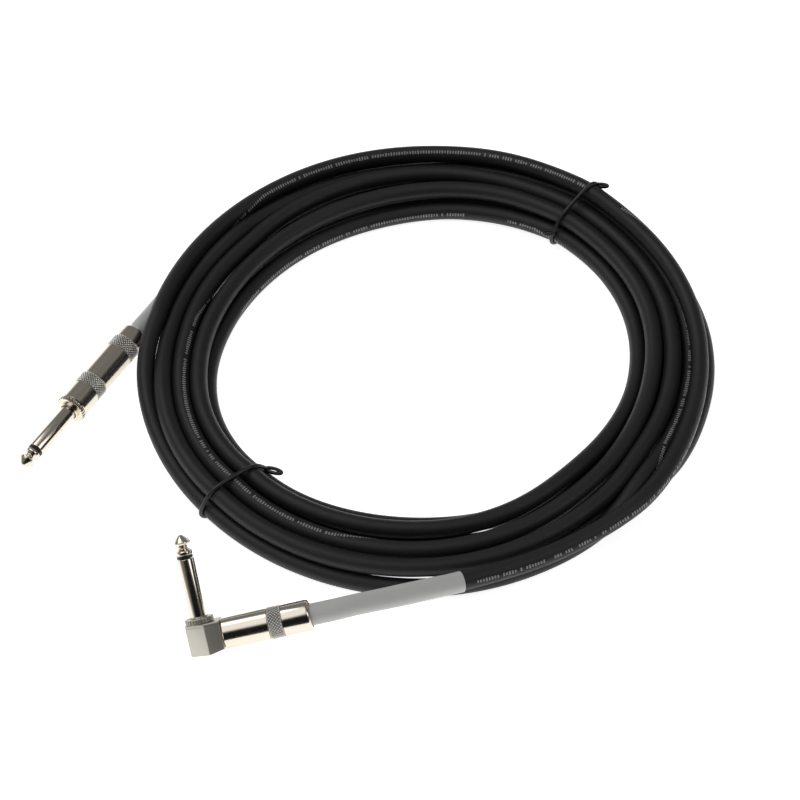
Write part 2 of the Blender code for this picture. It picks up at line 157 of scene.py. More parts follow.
# Where the plugs lie and how the cable leaves them, as in the CAD model
GAP = 0.3
JACKET_START = -18.0
BOOT_START = -26.0
STRAIGHT_SHOULDER = Vector((-140.1, 70.5, 6.15))
STRAIGHT_DIRECTION = Vector((0.51, 0.86, 0.0)).normalized()
STRAIGHT_BARREL = 43.2
STRAIGHT_KNURLS = ((8.9, 14.2), (31.0, 36.5))
STRAIGHT_BOOT_OUT = 57.0
STRAIGHT_ROUTE = ((-107.6, 126.0, 5.3), (-99.8, 139.6, 4.5), (-91.1, 151.9, 4.45), (-82.4, 162.9, 4.45))
ELBOW_AXES_CROSS = Vector((-82.6, -37.5, 8.3))
BARREL_DIRECTION = Vector((0.975, 0.125, 0.185)).normalized()
FINGER_DIRECTION = Vector((-0.24, 0.70, 0.67))
FINGER_RISE = 7.7
STRAIGHT_ROD_END = -12.5
STRAIGHT_SLEEVE_END = -5.0
ANGLE_ROD_END = 1.5 - GAP - FINGER_RISE
ANGLE_SLEEVE_END = -3.6
ELBOW_FACE = 7.5
ANGLE_BARREL = 32.5
ANGLE_KNURLS = ((17.0, 22.0),)
ANGLE_BOOT_OUT = 60.0
ANGLE_ROUTE = (
    (-27.0, -29.5, 17.9), (-14.0, -25.7, 17.2), (0.0, -20.5, 15.2),
    (14.0, -15.1, 13.2), (34.0, -7.4, 12.2), (54.0, 1.6, 12.2),
)

# Plug sizes
FINGER_R = 3.175
FINGER_BORE_R = 2.2
RING_TOP = 23.2
SLEEVE_TOP = 22.0
TIP_TOP = 31.0
BARREL_R = 5.85
KNURL_R = 5.98
KNURL_DEPTH = 0.34
KNURL_COUNT = 30
KNURL_PITCH = 0.62
KNURL_STEP = 0.1
# Painted shade in the knurl's grooves: it starts this far below the knurl's top radius and fades in over this
# depth
GROOVE_SHADE_FROM, GROOVE_SHADE_FADE = 0.13, 0.12
RELIEF_R = BARREL_R - 0.22
OUTSIDE_R = BARREL_R - 0.6
BARREL_SIDES = 340
BARREL_BORE_R = 5.15
BARREL_EXIT_R = 4.6
BARREL_WALL = 1.2
BARREL_TRAVEL = 5.0
THREAD_R = 4.85
THREAD_LENGTH = 6.0
THREAD_DEPTH = 0.35
THREAD_STEP = 0.12
HUB_R = 4.0
HUB_HEIGHT = 1.0
COLLAR_R = 6.1
COLLAR_HEIGHT = 1.8
SHOULDER_DEPTH = HUB_HEIGHT + COLLAR_HEIGHT
BODY_SIDES = 280
METAL_CREASE = 30.0
BOOT_R = 4.05
BOOT_SIDES = 48
BOOT_WAVES = 12
BOOT_UNEVEN = 0.05

# Elbow of the right-angle plug, in its finger's frame: heights along the finger, the rest across it
ELBOW_TOP = -2.1
ELBOW_BOTTOM = -13.8
ELBOW_HALF_WIDTH = 5.75
ELBOW_POINT = -5.8
ELBOW_POINT_HALF_WIDTH = 0.9
ELBOW_SHOULDER = 1.75
ELBOW_UNDERCUT = 1.2
ELBOW_BEVEL = 0.28
ELBOW_GROOVE = (-2.9, -3.3)
GROOVE_DEPTH = 0.3
NECK_BORE_R = 3.4
ANGLE_COLLAR_R = 5.3
ANGLE_COLLAR_SIDES = 300

# Looks
NICKEL, NICKEL_ROUGHNESS = (0.76, 0.70, 0.60), (0.10, 0.20)
CAST_NICKEL, CAST_ROUGHNESS = (0.58, 0.555, 0.49), (0.40, 0.48)
KNURL_FACETS = (0.93, 0.90, 0.85)
# Painted shade: the colour the knurl's grooves are darkened to
KNURL_GROOVE_SHADE = (0.07, 0.065, 0.055)
JACKET_BLACK = (0.0135, 0.0135, 0.015)
PRINT_GREY = (0.26, 0.26, 0.27)
BOOT_GREY = (0.58, 0.58, 0.565)
TIE_BLACK = (0.010, 0.010, 0.011)

# Printed ticks
TICK_PITCH = 1.15
TICK_SHARE = 0.56
TICK_HEIGHT = 1.5
TICKS_LEFT_OUT = 0.13
PRINT_REPEAT = 250.0
PRINT_SHARE = 0.93

# Studio: how bright the sky is, and where it has patches, as (direction, width in degrees)
SKY_GREY = 0.18
HORIZON_GREY = 0.6
SKY_HEIGHTS = (0.05, 0.28)
DARK_SIDE = ((0.97, 0.10, 0.20), 36.0)
DARK_SIDE_DEPTH = 0.92
DARK_PATCH = ((0.15, -0.90, 0.36), 52.0)
DARK_PATCH_DEPTH = 0.95
BRIGHT_PATCH = ((-0.38, 0.02, 0.92), 38.0)
BRIGHT_LEVEL = 0.9
FLOOR_REACH = 6000.0
FLOOR_GLOW = 0.85

# Softboxes: place in metres, (width, height) and watts
SOFTBOXES = {
    "key": ((-1.0, 0.9, 1.5), (0.9, 0.9), 4.0),
    "fill": ((1.2, -0.3, 1.3), (0.7, 1.1), 4.0),
}
SOFTBOX_AIM = Vector((0.0, 0.1, 0.0))

CAMERA_PITCH = 50.5
CAMERA_PLACE = Vector((-11.01, -618.09, 848.79))
CAMERA_LENS = 125.73


# ---------------------------------------------------------------- the cable's path


def smooth_route(points, spacing):
    """Evenly spaced points, in an array, along one Catmull-Rom curve through the given ones."""
    given = np.asarray(points, float)
    ends = np.vstack([2 * given[0] - given[1], given, 2 * given[-1] - given[-2]])
    steps = np.linspace(0.0, 1.0, 24, endpoint=False)[:, None]
    fine = []
    for a, b, c, d in zip(ends, ends[1:], ends[2:], ends[3:]):
        fine.append(
            0.5 * (2 * b + (c - a) * steps + (2 * a - 5 * b + 4 * c - d) * steps**2
                   + (3 * b - a - 3 * c + d) * steps**3)
        )
    return resample(np.vstack([*fine, given[-1:]]), spacing)


def lengths_along(points):
    return np.concatenate([[0.0], np.cumsum(np.linalg.norm(np.diff(points, axis=0), axis=1))])


def resample(points, spacing):
    runs = lengths_along(points)
    even = np.linspace(0.0, runs[-1], round(runs[-1] / spacing) + 1)
    return np.column_stack([np.interp(even, runs, points[:, axis]) for axis in range(3)])


def frame_matrix(origin, z_axis, y_axis):
    """The place, in millimetres, whose Z runs along z_axis and whose Y is as near y_axis as it can be."""
    z = z_axis.normalized()
    x = y_axis.cross(z).normalized()
    turn = Matrix((x, z.cross(x), z)).transposed().to_4x4()
    return Matrix.Translation(origin) @ turn


def cable_end(frame, length, route):
    """Pinned points from inside the barrel, through its rear and along the given route."""
    back = -GAP - length
    stops = [*np.linspace(JACKET_START, back, 5), back - 8.0]
    inside = [frame @ Vector((0.0, 0.0, z)) for z in stops]
    return smooth_route([*inside, *[Vector(point) for point in route]], 3.0)


def polar(points):
    """(angle in degrees, radius, height) of points round the coil's centre."""
    angle = np.degrees(np.arctan2(points[:, 1] - CENTRE_Y, points[:, 0]))
    return angle, np.hypot(points[:, 0], points[:, 1] - CENTRE_Y), points[:, 2]


def from_polar(angle, radius, height):
    """The points, back from what polar gives."""
    turn = np.radians(angle)
    return np.stack([radius * np.cos(turn), CENTRE_Y + radius * np.sin(turn), height], axis=-1)


def wanted_places(angles, rng):
    """Where each station of the coil would lie if nothing pushed it: (radius, height) along the passes."""
    knots, places = [], []
    for index, spots in enumerate(PASSES):
        for quarter, spot in zip((90.0, 0.0, -90.0, -180.0), spots):
            knots.append(quarter - 360.0 * index)
            places.append(spot)
        knots.append(TIED_AT - 360.0 * index)
        places.append(TIED[index])
    for knot, radius, height in OVER_PLUG:
        knots.append(knot)
        places.append((radius, height))
    knots, places = np.array(knots), np.array(places)
    order = np.argsort(knots)
    flat = np.column_stack([np.interp(angles, knots[order], places[order, axis]) for axis in (0, 1)])
    kernel = np.hanning(BLUR_STATIONS + 2)[1:-1]
    kernel /= kernel.sum()
    padded = np.pad(flat, ((BLUR_STATIONS, BLUR_STATIONS), (0, 0)), "edge")
    smooth = np.column_stack([np.convolve(padded[:, axis], kernel, "same") for axis in (0, 1)])
    smooth = smooth[BLUR_STATIONS:-BLUR_STATIONS]
    sway_knots = np.linspace(angles.min(), angles.max(), SWAY_KNOTS)
    sway = np.interp(angles, sway_knots, rng.normal(0.0, SWAY, SWAY_KNOTS))
    share = (smooth[:, 0] - INNER_EDGE) / (OUTER_EDGE - INNER_EDGE)
    smooth[:, 0] += sway + edge_shift(angles, 1) * (1.0 - share) + edge_shift(angles, 2) * share
    return smooth


def edge_shift(angles, column):
    """The shift of the bundle's inner (1) or outer (2) edge at each direction, smooth all the way round."""
    table = np.array(EDGE_SHIFTS, float)
    turn = np.arange(-540.0, 541.0, 5.0)
    stops = np.concatenate([table[:, 0] - 360.0, table[:, 0], table[:, 0] + 360.0])
    values = np.interp(turn, stops, np.tile(table[:, column], 3))
    kernel = np.hanning(9)[1:-1]
    values = np.convolve(values, kernel / kernel.sum(), "same")
    return np.interp((angles + 180.0) % 360.0 - 180.0, turn, values)


def floor_height(angles):
    """How low the cable's centreline can lie: it is lifted where a tie passes under the bundle."""
    height = np.full(len(angles), CABLE_R)
    for tie, *_ in TIES.values():
        away = (angles - tie + 180.0) % 360.0 - 180.0
        height += TIE_LIFT * np.exp(-((away / TIE_LIFT_DEG) ** 2))
    return height


def obstacle(end, angles, low, high, reach):
    """Which stations pass a pinned piece, its (radius, height) there, and how far off they must keep.

    Past the piece's ends the distance eases off, so that the cable bends round them gently.
    """
    angle, radius, height = polar(end)
    angle = angle % 360.0
    order = np.argsort(angle)
    around = angles % 360.0
    near = (around > low) & (around < high)
    place = np.column_stack([
        np.interp(around[near], angle[order], radius[order]),
        np.interp(around[near], angle[order], height[order]),
    ])
    beyond = around[near] - np.clip(around[near], angle.min(), angle.max())
    return near, place, reach - EASING * beyond**2


def push_apart(places, first, second, reach, share):
    """Moves first (and second, when share is 0.5) so that each pair is at least reach apart."""
    away = places[first] - second
    gap = np.linalg.norm(away, axis=1)
    short = np.clip(reach - gap, 0.0, None) * share
    return away / np.maximum(gap, 1e-6)[:, None] * short[:, None]


def relax(angles, wanted, pinned_ends, start, end):
    """Settles the stations: no strand lies in another, and each stays near where it was wanted."""
    places = wanted.copy()
    low = floor_height(angles)
    count = len(angles)
    for step in range(SETTLING_ROUNDS):
        places += (wanted - places) * (FIRM_PULL if step < FIRM_ROUNDS else LIGHT_PULL)
        for _ in range(4 if step < STIFF_ROUNDS else 1):
            curve = np.zeros_like(places)
            curve[1:-1] = places[:-2] + places[2:] - 2 * places[1:-1]
            places += curve * STIFFNESS
        for _ in range(3):
            for turns in range(1, len(PASSES)):
                offset = turns * PER_TURN
                if offset >= count:
                    break
                move = push_apart(places, slice(0, count - offset), places[offset:], SEPARATION, 0.5)
                places[: count - offset] += move
                places[offset:] -= move
            for near, place, reach in pinned_ends:
                places[near] += push_apart(places, near, place, reach, 1.0)
            places[:, 1] = np.maximum(places[:, 1], low)
            places[0], places[-1] = start, end
    return places


def coil_path():
    """The whole cable's centreline in millimetres, from one barrel to the other."""
    rng = np.random.default_rng(11)
    first = cable_end(STRAIGHT_REAR, STRAIGHT_BARREL, STRAIGHT_ROUTE)
    last = cable_end(ANGLE_REAR, ANGLE_BARREL, ANGLE_ROUTE)
    angles = np.arange(COIL_START_DEG - STATION_DEG, COIL_END_DEG, -STATION_DEG)
    wanted = wanted_places(angles, rng)
    unscrewed = -GAP - STRAIGHT_BARREL - BARREL_TRAVEL
    backed_off = [STRAIGHT_REAR @ Vector((0.0, 0.0, z)) for z in (UNSCREWED_FROM, unscrewed)]
    pinned = [
        obstacle(first, angles, *STRAIGHT_END_NEAR, BOOT_CLEARANCE),
        obstacle(resample(np.array(backed_off), 1.0), angles, *UNSCREWED_NEAR, BARREL_CLEARANCE),
        obstacle(last, angles, *ANGLE_END_NEAR, BOOT_CLEARANCE),
    ]
    start = np.array(polar(first[-1:]))[1:, 0]
    end = np.array(polar(last[-1:]))[1:, 0]
    places = relax(angles, wanted, pinned, start, end)
    middle = from_polar(angles, places[:, 0], places[:, 1])
    whole = np.vstack([first[:-1], middle[3:-3], last[::-1][1:]])
    path = smooth_route(whole, RING_SPACING)
    for joint in (first[-1], last[-1]):
        path = ease_bend(path, joint)
    return path


def ease_bend(path, place):
    """The path with its bend at one place spread over EASED_RINGS rings each way."""
    middle = int(np.argmin(np.linalg.norm(path - place, axis=1)))
    part = slice(middle - EASED_RINGS, middle + EASED_RINGS + 1)
    weight = np.hanning(2 * EASED_RINGS + 1)[:, None] * 0.5
    path = path.copy()
    for _ in range(EASING_ROUNDS):
        between = (path[part.start - 1:part.stop - 1] + path[part.start + 1:part.stop + 1]) / 2
        path[part] += (between - path[part]) * weight
    return path


def print_turns(path):
    """How far round the jacket its printed line has turned, in turns from the top, at each ring."""
    unrolled = np.degrees(np.unwrap(np.radians(polar(path)[0])))
    unrolled += 360.0 * round((COIL_START_DEG - unrolled[0]) / 360.0)
    knots = np.array(PRINT_FACES)
    order = np.argsort(knots[:, 0])
    return np.interp(unrolled, knots[order, 0], knots[order, 1] / 360.0)


# ---------------------------------------------------------------- meshes


def added(name, data):
    """A new object for a mesh, light or camera, in the scene."""
    obj = bpy.data.objects.new(name, data)
    bpy.context.scene.collection.objects.link(obj)
    return obj


def smooth_shaded(mesh, crease):
    mesh.polygons.foreach_set("use_smooth", [True] * len(mesh.polygons))
    mesh.set_sharp_from_angle(angle=math.radians(crease))


def mesh_from(name, shape, look):
    """A mesh from a bmesh, which is freed."""
    mesh = bpy.data.meshes.new(name)
    shape.to_mesh(mesh)
    shape.free()
    mesh.materials.append(look)
    return mesh


def mesh_piece(name, verts, faces, look, crease=38.0):
    """A piece from vertices in millimetres."""
    mesh = bpy.data.meshes.new(name)
    mesh.from_pydata([tuple(v) for v in np.asarray(verts) * MM], [], faces)
    smooth_shaded(mesh, crease)
    mesh.materials.append(look)
    return added(name, mesh)


def quads(rows, sides):
    """The faces between each ring of vertices and the next."""
    for start in range(0, rows * sides, sides):
        for col in range(sides):
            ahead = (col + 1) % sides
            yield start + col, start + ahead, start + sides + ahead, start + sides + col


def rounded(profile, radius):
    """The profile with its corners cut by small arcs."""
    points = [np.array(p, float) for p in profile]
    out = [points[0]]
    for a, b, c in zip(points, points[1:], points[2:]):
        before, after = a - b, c - b
        reach = min(radius, np.linalg.norm(before) * 0.45, np.linalg.norm(after) * 0.45)
        start = b + before / np.linalg.norm(before) * reach
        stop = b + after / np.linalg.norm(after) * reach
        for t in (0.0, 0.33, 0.67, 1.0):
            out.append((1 - t) ** 2 * start + 2 * t * (1 - t) * b + t**2 * stop)
    out.append(points[-1])
    return out


def lathe(name, profile, place, look, steps=96, shape=None, closed=False, crease=38.0):
    """A profile of (radius, z) turned about the place's Z. shape(angle, z, radius) may change the radius."""
    profile = np.array(profile, float)
    if closed:
        profile = np.vstack([profile, profile[:1]])
    turn = np.linspace(0.0, 2 * math.pi, steps, endpoint=False)
    radius, height = (np.repeat(profile[:, [axis]], steps, axis=1) for axis in (0, 1))
    if shape:
        radius = shape(turn[None, :], height, radius)
    rings = np.stack([radius * np.cos(turn), radius * np.sin(turn), height], axis=-1).reshape(-1, 3)
    turn_part = np.array(place.to_3x3())
    verts = rings @ turn_part.T + np.array(place.translation)
    faces = [(a, d, c, b) for a, b, c, d in quads(len(profile) - 1, steps)]
    obj = mesh_piece(name, verts, faces, look, crease)
    merge_points(obj)
    return obj


def stands_for(obj, slot_name, *nodes, body="root"):
    """The piece moves with that body and is shown in the place of the CAD nodes."""
    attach(obj, body)
    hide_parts(*nodes)
    return obj


def merge_points(obj):
    shape = bmesh.new()
    shape.from_mesh(obj.data)
    bmesh.ops.remove_doubles(shape, verts=shape.verts, dist=1e-7)
    bmesh.ops.recalc_face_normals(shape, faces=shape.faces)
    shape.to_mesh(obj.data)
    shape.free()


def joined(name, *objs):
    """One piece from several."""
    shape = bmesh.new()
    for obj in objs:
        shape.from_mesh(obj.data)
    mesh = mesh_from(name, shape, objs[0].data.materials[0])
    for obj in objs:
        bpy.data.objects.remove(obj)
    return added(name, mesh)


def ring_frames(path):
    """Up and side directions along a path that never runs straight up."""
    tangent = np.gradient(path, axis=0)
    tangent /= np.linalg.norm(tangent, axis=1)[:, None]
    up = np.array([0.0, 0.0, 1.0]) - tangent * tangent[:, 2:3]
    up /= np.linalg.norm(up, axis=1)[:, None]
    return up, np.cross(tangent, up)


def tube_piece(name, path, radius, look, sides=24, twist=None, capped=True):
    """A tube along a path in millimetres, with UVs of (metres along, turns round)."""
    count = len(path)
    up, side = ring_frames(path)
    radius = np.broadcast_to(np.asarray(radius, float), (count,))
    turn = np.linspace(0.0, 2 * math.pi, sides, endpoint=False)
    away = up[:, None] * np.cos(turn)[None, :, None] + side[:, None] * np.sin(turn)[None, :, None]
    verts = (path[:, None] + away * radius[:, None, None]).reshape(-1, 3)
    faces = list(quads(count - 1, sides))
    if capped:
        faces.append(tuple(range(sides)))
        faces.append(tuple(reversed(range((count - 1) * sides, count * sides))))
    obj = mesh_piece(name, verts, faces, look, crease=60.0)
    runs = lengths_along(path) * MM
    offset = np.zeros(count) if twist is None else twist
    uv = np.zeros((len(obj.data.loops), 2))
    index = np.arange((count - 1) * sides)
    row, col = index // sides, index % sides
    for corner, (down, along) in enumerate(((0, 0), (0, 1), (1, 1), (1, 0))):
        uv[index * 4 + corner, 0] = runs[np.minimum(row + down, count - 1)]
        uv[index * 4 + corner, 1] = (col + along) / sides - offset[np.minimum(row + down, count - 1)]
    layer = obj.data.uv_layers.new(name="cable")
    layer.data.foreach_set("uv", uv.astype(np.float32).ravel())
    return obj


# ---------------------------------------------------------------- materials


def new_look(name):
    look = bpy.data.materials.new(name)
    look.use_nodes = True
    return look, look.node_tree, look.node_tree.nodes["Principled BSDF"]


def set_base(shader, colour, roughness, metallic=0.0):
    shader.inputs["Base Color"].default_value = (*colour, 1.0)
    shader.inputs["Roughness"].default_value = roughness
    shader.inputs["Metallic"].default_value = metallic


def noise(tree, scale, detail=2.0, vector=None):
    node = tree.nodes.new("ShaderNodeTexNoise")
    node.inputs["Scale"].default_value = scale
    node.inputs["Detail"].default_value = detail
    if vector:
        tree.links.new(vector, node.inputs["Vector"])
    return node.outputs["Fac"]


def object_place(tree):
    return tree.nodes.new("ShaderNodeTexCoord").outputs["Object"]


def spread(tree, value, low, high):
    """The value, 0 to 1, turned into the range low to high."""
    node = tree.nodes.new("ShaderNodeMapRange")
    node.inputs["To Min"].default_value = low
    node.inputs["To Max"].default_value = high
    tree.links.new(value, node.inputs["Value"])
    return node.outputs["Result"]


def bump(tree, shader, height, strength, distance):
    node = tree.nodes.new("ShaderNodeBump")
    node.inputs["Strength"].default_value = strength
    node.inputs["Distance"].default_value = distance
    tree.links.new(height, node.inputs["Height"])
    tree.links.new(node.outputs["Normal"], shader.inputs["Normal"])


def calc(tree, operation, first, second=None):
    node = tree.nodes.new("ShaderNodeMath")
    node.operation = operation
    for socket, value in zip(node.inputs, (first, second)):
        if value is None:
            continue
        if isinstance(value, (int, float)):
            socket.default_value = value
        else:
            tree.links.new(value, socket)
    return node.outputs[0]


def nickel(name="nickel", colour=NICKEL, roughness=NICKEL_ROUGHNESS):
    look, tree, shader = new_look(name)
    set_base(shader, colour, 0.15, 1.0)
    place = object_place(tree)
    patchy = noise(tree, 900.0, 4.0, place)
    tree.links.new(spread(tree, patchy, *roughness), shader.inputs["Roughness"])
    bump(tree, shader, noise(tree, 2500.0, 2.0, place), 0.06, 0.00005)
    return look


def attribute(tree, name):
    node = tree.nodes.new("ShaderNodeAttribute")
    node.attribute_name = name
    return node.outputs["Fac"]


def blend(tree, factor, first, second):
    """The first value or colour, turning into the second as the factor goes from 0 to 1."""
    kind = "RGBA" if isinstance(second, tuple) else "FLOAT"
    node = tree.nodes.new("ShaderNodeMix")
    node.data_type = kind
    sockets = [socket for socket in node.inputs if socket.enabled]
    for socket, value in zip(sockets, (factor, first, second)):
        if isinstance(value, bpy.types.NodeSocket):
            tree.links.new(value, socket)
        else:
            socket.default_value = (*value, 1.0) if isinstance(value, tuple) else value
    return next(socket for socket in node.outputs if socket.enabled)


def knurled_nickel():
    """The barrels' nickel: duller where it is knurled, and darkened with painted shade in the knurl's
    grooves.
    """
    look = nickel("knurled nickel")
    tree = look.node_tree
    shader = tree.nodes["Principled BSDF"]
    smooth = shader.inputs["Roughness"].links[0].from_socket
    tree.links.new(blend(tree, attribute(tree, "knurled"), smooth, 0.34), shader.inputs["Roughness"])
    facets = blend(tree, attribute(tree, "knurled"), NICKEL, KNURL_FACETS)
    # Painted shade: the groove attribute darkens the base colour in the knurl's grooves
    cuts = blend(tree, attribute(tree, "groove"), facets, KNURL_GROOVE_SHADE)
    tree.links.new(cuts, shader.inputs["Base Color"])
    tree.links.new(blend(tree, attribute(tree, "knurled"), 1.0, 0.6), shader.inputs["Metallic"])
    return look


def plain(name, colour, roughness, metallic=0.0, grain=1500.0, depth=0.15):
    look, tree, shader = new_look(name)
    set_base(shader, colour, roughness, metallic)
    bump(tree, shader, noise(tree, grain, 3.0, object_place(tree)), depth, 0.0001)
    return look


def printed_ticks(tree):
    """A mask of short ticks, some left out, along one line of the jacket's UVs."""
    split = tree.nodes.new("ShaderNodeSeparateXYZ")
    tree.links.new(tree.nodes.new("ShaderNodeUVMap").outputs["UV"], split.inputs["Vector"])
    along = calc(tree, "MULTIPLY", split.outputs["X"], 1000.0)
    around = calc(tree, "SUBTRACT", calc(tree, "FRACT", calc(tree, "ADD", split.outputs["Y"], 0.5)), 0.5)
    across = calc(tree, "MULTIPLY", around, 2 * math.pi * CABLE_R)
    cell = calc(tree, "DIVIDE", along, TICK_PITCH)
    random = tree.nodes.new("ShaderNodeTexWhiteNoise")
    random.noise_dimensions = "1D"
    tree.links.new(calc(tree, "FLOOR", cell), random.inputs["W"])
    height = spread(tree, random.outputs["Value"], 0.4, TICK_HEIGHT / 2)
    tall = calc(tree, "LESS_THAN", calc(tree, "ABSOLUTE", across), height)
    tick = calc(tree, "LESS_THAN", calc(tree, "FRACT", cell), TICK_SHARE)
    kept = calc(tree, "GREATER_THAN", random.outputs["Value"], TICKS_LEFT_OUT)
    block = calc(tree, "FRACT", calc(tree, "DIVIDE", along, PRINT_REPEAT))
    inked = calc(tree, "LESS_THAN", block, PRINT_SHARE)
    mask = calc(tree, "MULTIPLY", tall, tick)
    return calc(tree, "MULTIPLY", calc(tree, "MULTIPLY", mask, kept), inked)


def jacket():
    look, tree, shader = new_look("jacket")
    set_base(shader, JACKET_BLACK, 0.42)
    shader.inputs["Specular IOR Level"].default_value = 0.36
    place = object_place(tree)
    colour = blend(tree, printed_ticks(tree), JACKET_BLACK, PRINT_GREY)
    tree.links.new(colour, shader.inputs["Base Color"])
    tree.links.new(spread(tree, noise(tree, 220.0, 3.0, place), 0.42, 0.58), shader.inputs["Roughness"])
    bump(tree, shader, noise(tree, 1600.0, 3.0, place), 0.12, 0.00012)
    return look


# ---------------------------------------------------------------- plug parts


def sawtooth(value):
    """A triangle wave from 0 to 1 and back, once for each whole number."""
    return 1.0 - np.abs(2.0 * (value - np.floor(value)) - 1.0)


def diamond_knurl(start, end):
    """A radius function that raises small pyramids between two heights."""

    def shape(turn, z, radius):
        inside = np.clip((start - z) / 0.25, 0, 1) * np.clip((z - end) / 0.25, 0, 1)
        around = KNURL_COUNT * turn / (2 * math.pi)
        right = sawtooth(around + z / (2 * KNURL_PITCH))
        left = sawtooth(around - z / (2 * KNURL_PITCH))
        raised = np.clip(np.minimum(right, left) * 1.35, 0, 1)
        return radius + np.where(radius > OUTSIDE_R, inside * (raised - 1.0) * KNURL_DEPTH, 0.0)

    return shape


def straight_knurl(start, end, outer, depth, count):
    """A radius function that cuts teeth along the axis between two heights."""

    def shape(turn, z, radius):
        inside = np.clip((start - z) / 0.12, 0, 1) * np.clip((z - end) / 0.12, 0, 1)
        teeth = np.clip(sawtooth(count * turn / (2 * math.pi)) * 1.6, 0, 1)
        return radius + np.where(radius > outer - 0.3, inside * (teeth - 1.0) * depth, 0.0)

    return shape


def thread_shape(turn, z, radius):
    """A 1 mm pitch screw thread on the threaded radius."""
    on_thread = (np.abs(radius - THREAD_R) < 0.02).astype(float)
    return radius - on_thread * THREAD_DEPTH * (1.0 - sawtooth(z + turn / (2 * math.pi)))


def fine_steps(start, end, step):
    count = max(2, int(abs(end - start) / step))
    return np.linspace(start, end, count)


def mark_knurls_and_groove_shade(obj, frame, bands):
    """Stores where the barrel is knurled and how deep each point lies in a groove, which the material turns
    into painted shade.
    """
    spots = np.zeros(len(obj.data.vertices) * 3)
    obj.data.vertices.foreach_get("co", spots)
    inverse = np.array(frame.inverted())
    spots = (spots.reshape(-1, 3) / MM) @ inverse[:3, :3].T + inverse[:3, 3]
    radius = np.hypot(spots[:, 0], spots[:, 1])
    inside = np.zeros(len(radius), bool)
    for top, bottom in bands:
        inside |= (spots[:, 2] < top + 0.1) & (spots[:, 2] > bottom - 0.1) & (radius > OUTSIDE_R)
    # Painted shade: the deeper a point lies in a knurl's groove, the more the material darkens it
    groove = np.clip((KNURL_R - radius - GROOVE_SHADE_FROM) / GROOVE_SHADE_FADE, 0.0, 1.0) * inside
    for name, values in (("knurled", inside), ("groove", groove)):
        layer = obj.data.attributes.new(name, "FLOAT", "POINT")
        layer.data.foreach_set("value", values.astype(np.float32))


def barrel_piece(prefix, frame, length, knurls, look):
    front, back = -GAP, -GAP - length
    bands = [(front - start, front - end) for start, end in knurls]
    profile = [(BARREL_BORE_R, front), (BARREL_R - 0.15, front), (BARREL_R, front - 0.2)]
    for top, bottom in bands:
        profile += [(BARREL_R, top + 0.3), (RELIEF_R, top + 0.12), (RELIEF_R, top - 0.02)]
        profile += [(KNURL_R, z) for z in fine_steps(top - 0.12, bottom + 0.12, KNURL_STEP)]
        profile += [(RELIEF_R, bottom + 0.02), (RELIEF_R, bottom - 0.12), (BARREL_R, bottom - 0.3)]
    profile += [(BARREL_R, back + 1.3), (BARREL_R - 0.12, back + 0.7), (BARREL_R - 0.45, back + 0.25)]
    profile += [(BARREL_R - 0.9, back), (BARREL_EXIT_R, back)]
    profile += [(BARREL_EXIT_R, back + BARREL_WALL), (BARREL_BORE_R, back + BARREL_WALL)]
    cuts = [diamond_knurl(top - 0.08, bottom + 0.08) for top, bottom in bands]

    def shape(turn, z, radius):
        for one in cuts:
            radius = one(turn, z, radius)
        return radius

    name = prefix + "_barrel_look"
    obj = lathe(name, profile, frame, look, BARREL_SIDES, shape, closed=True, crease=METAL_CREASE)
    mark_knurls_and_groove_shade(obj, frame, bands)
    stands_for(obj, "nickel", prefix + "_barrel", body=prefix + "_barrel")


def finger_pieces(prefix, frame, rod_end, sleeve_end, metal):
    tip = [
        (0.0, TIP_TOP), (0.45, TIP_TOP - 0.06), (1.0, TIP_TOP - 0.35), (1.9, TIP_TOP - 1.2),
        (2.7, TIP_TOP - 2.1), (3.15, TIP_TOP - 2.75), (3.2, TIP_TOP - 3.05), (2.95, TIP_TOP - 3.5),
        (2.3, TIP_TOP - 4.2), (1.8, TIP_TOP - 4.75), (1.85, TIP_TOP - 5.15), (2.6, TIP_TOP - 5.8),
        (3.05, TIP_TOP - 6.2), (3.1, TIP_TOP - 6.6), (3.1, RING_TOP + GAP), (0.9, RING_TOP + GAP),
        (0.9, rod_end), (0.0, rod_end),
    ]
    obj = lathe(prefix + "_tip_look", rounded(tip, 0.22), frame, metal, crease=50.0)
    stands_for(obj, "nickel", prefix + "_tip")
    sleeve = [
        (FINGER_BORE_R, SLEEVE_TOP), (FINGER_R, SLEEVE_TOP), (FINGER_R, sleeve_end),
        (FINGER_BORE_R, sleeve_end), (FINGER_BORE_R, SLEEVE_TOP),
    ]
    obj = lathe(prefix + "_sleeve_look", rounded(sleeve, 0.18), frame, metal)
    stands_for(obj, "nickel", prefix + "_sleeve")


def straight_body_piece(frame, metal):
    shoulder, seat = SHOULDER_DEPTH, STRAIGHT_SLEEVE_END
    back = -shoulder - THREAD_LENGTH
    profile = [(FINGER_R + GAP, seat), (FINGER_R + GAP, 0.0), (HUB_R - 0.25, 0.0), (HUB_R, -0.25)]
    profile += [(HUB_R, -HUB_HEIGHT), (COLLAR_R - 0.3, -HUB_HEIGHT), (COLLAR_R, -HUB_HEIGHT - 0.25)]
    profile += [(COLLAR_R, z) for z in fine_steps(-HUB_HEIGHT - 0.3, -shoulder + 0.2, THREAD_STEP)]
    profile += [(COLLAR_R - 0.25, -shoulder)]
    profile += [(THREAD_R, z) for z in fine_steps(-shoulder, back + 0.3, THREAD_STEP)]
    profile += [(THREAD_R - 0.4, back), (FINGER_BORE_R, back), (FINGER_BORE_R, seat)]
    teeth = straight_knurl(-HUB_HEIGHT + 0.1, -shoulder + 0.1, COLLAR_R, depth=0.5, count=28)

    def shape(turn, z, radius):
        return thread_shape(turn, z, teeth(turn, z, radius))

    name = "straight_body_look"
    obj = lathe(name, profile, frame, metal, BODY_SIDES, shape, closed=True, crease=METAL_CREASE)
    stands_for(obj, "nickel", "straight_body")


def cutter(name, profile, frame):
    return lathe(name, profile, frame, None, steps=48)


